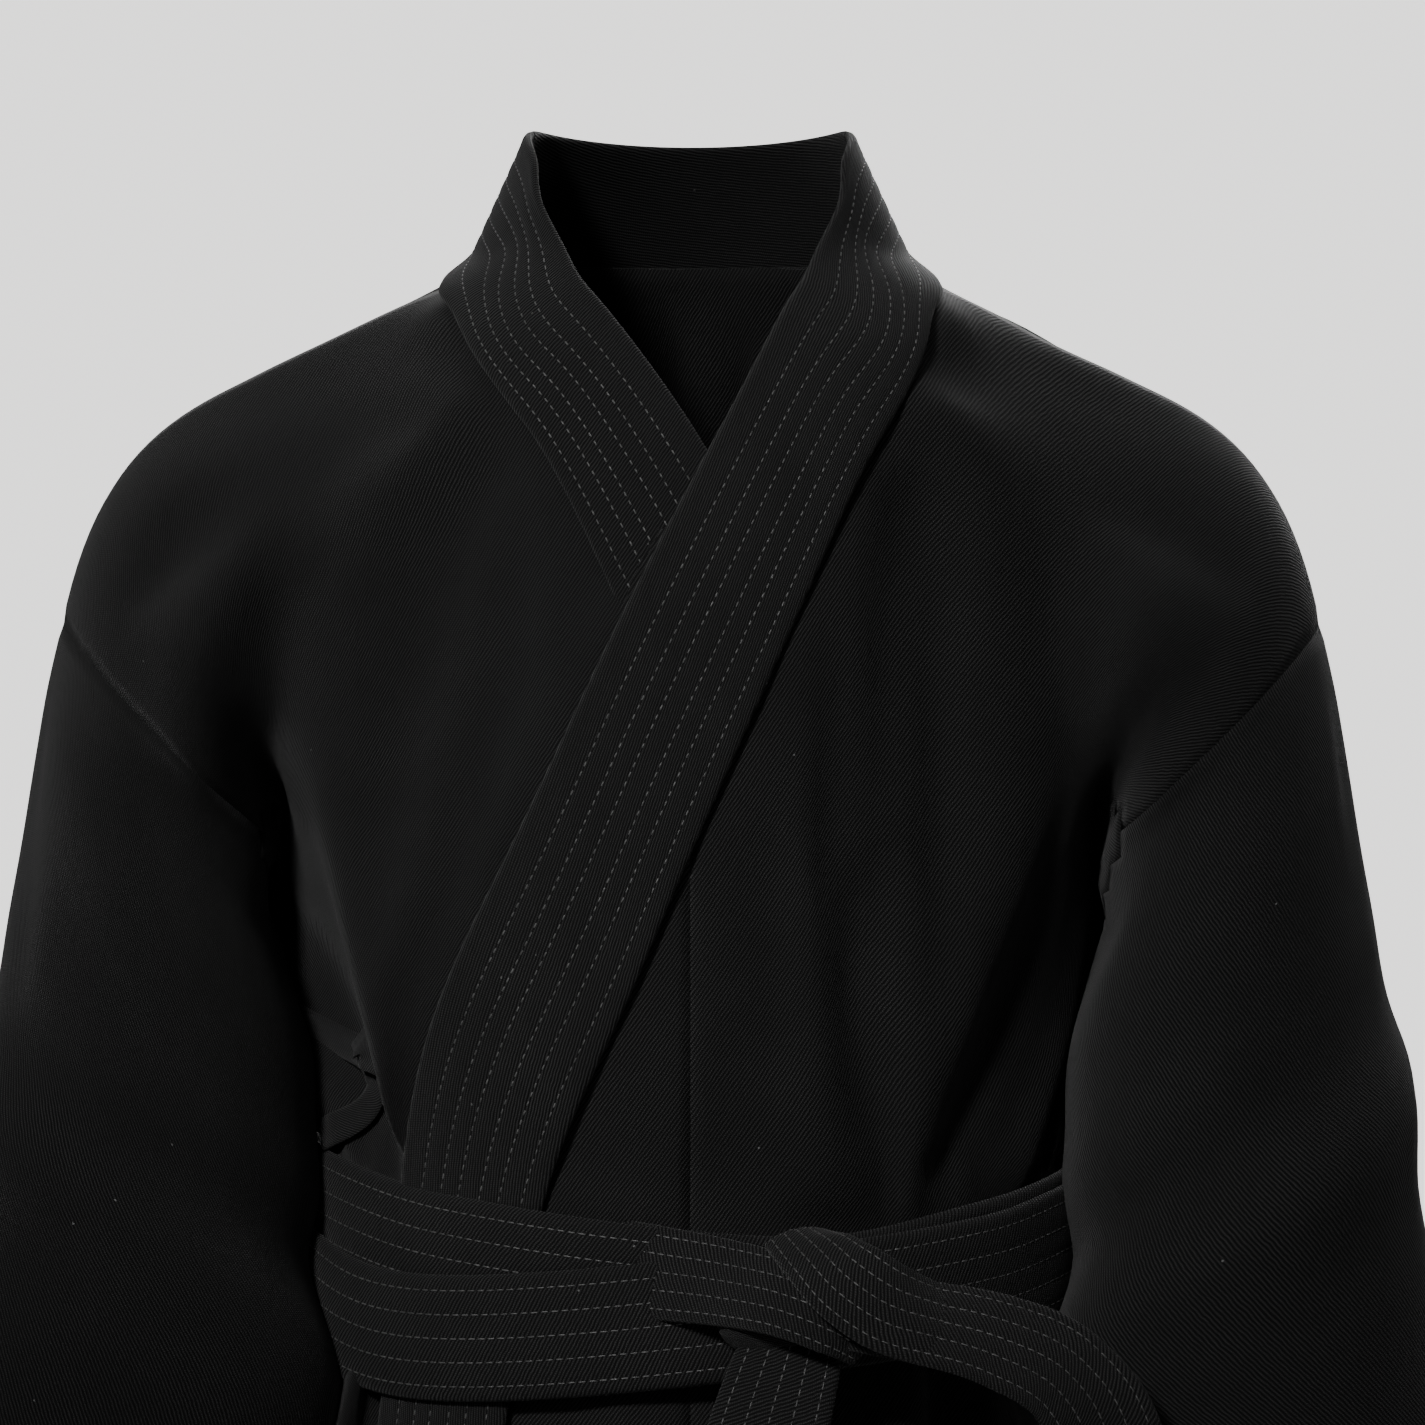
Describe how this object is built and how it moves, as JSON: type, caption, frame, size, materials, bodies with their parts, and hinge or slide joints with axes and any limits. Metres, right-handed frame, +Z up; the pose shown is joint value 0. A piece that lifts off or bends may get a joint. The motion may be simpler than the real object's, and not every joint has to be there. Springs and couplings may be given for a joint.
{
  "type": "martial arts uniform",
  "caption": "Wrap-front cotton martial arts uniform in its worn shape: jacket with a stitched lapel band, tied belt, loose sleeves and trousers.",
  "frame": {"origin": "middle of the neck opening, level with the foot of the collar", "axes": "+Z up along the wearer's back, -Y the way the wearer faces, +X to the wearer's left"},
  "size_m": [0.5284, 0.2509, 1.1396],
  "materials": {
    "twill": "black cotton twill, matt with a fine diagonal rib",
    "lapel_band": "black twill in several plies with rows of grey stitching",
    "belt": "black cotton belt with close rows of grey stitching",
    "tape": "black woven cotton tape"
  },
  "bodies": {
    "jacket": {"left_front": "twill", "left_overlap_panel": "twill", "right_front": "twill", "right_overlap_panel": "twill", "left_back": "twill", "right_back": "twill", "shoulder_lining": "twill", "left_underarm_gusset": "twill", "right_underarm_gusset": "twill", "left_upper_sleeve": "twill", "right_upper_sleeve": "twill", "left_vent_patch": "twill", "right_vent_patch": "twill", "left_trouser_leg": "twill", "right_trouser_leg": "twill", "trouser_gusset": "twill", "trouser_waistband": "twill", "left_lapel": "lapel_band", "right_lapel": "lapel_band", "collar_back": "lapel_band", "belt_first_wrap": "belt", "belt_second_wrap": "belt", "belt_knot_core": "belt", "belt_knot_wrap": "belt", "outer_tie_loop": "tape", "outer_tie_knot": "tape", "inner_tie_front": "tape", "inner_tie_side": "tape", "left_drawstring": "tape", "right_drawstring": "tape"},
    "left_forearm": {"left_lower_sleeve": "twill"},
    "right_forearm": {"right_lower_sleeve": "twill"},
    "left_shin": {"left_trouser_shin": "twill"},
    "right_shin": {"right_trouser_shin": "twill"},
    "left_belt_end": {"belt_left_tail": "belt"},
    "right_belt_end": {"belt_right_tail": "belt"}
  },
  "joints": [
    {"name": "left_elbow", "type": "hinge", "parent": "jacket", "child": "left_forearm", "pos_m": [0.192, -0.004, -0.262], "axis": [-1, 0, 0], "range_deg": [0, 45]},
    {"name": "right_elbow", "type": "hinge", "parent": "jacket", "child": "right_forearm", "pos_m": [-0.192, -0.004, -0.262], "axis": [-1, 0, 0], "range_deg": [0, 45]},
    {"name": "left_knee", "type": "hinge", "parent": "jacket", "child": "left_shin", "pos_m": [0.084, -0.006, -0.77], "axis": [1, 0, 0], "range_deg": [0, 45]},
    {"name": "right_knee", "type": "hinge", "parent": "jacket", "child": "right_shin", "pos_m": [-0.084, -0.006, -0.77], "axis": [1, 0, 0], "range_deg": [0, 45]},
    {"name": "left_belt_swing", "type": "hinge", "parent": "jacket", "child": "left_belt_end", "pos_m": [0.09, -0.1149, -0.313], "axis": [-1, 0, 0], "range_deg": [0, 60]},
    {"name": "right_belt_swing", "type": "hinge", "parent": "jacket", "child": "right_belt_end", "pos_m": [0.024, -0.1179, -0.356], "axis": [-1, 0, 0], "range_deg": [0, 60]}
  ]
}
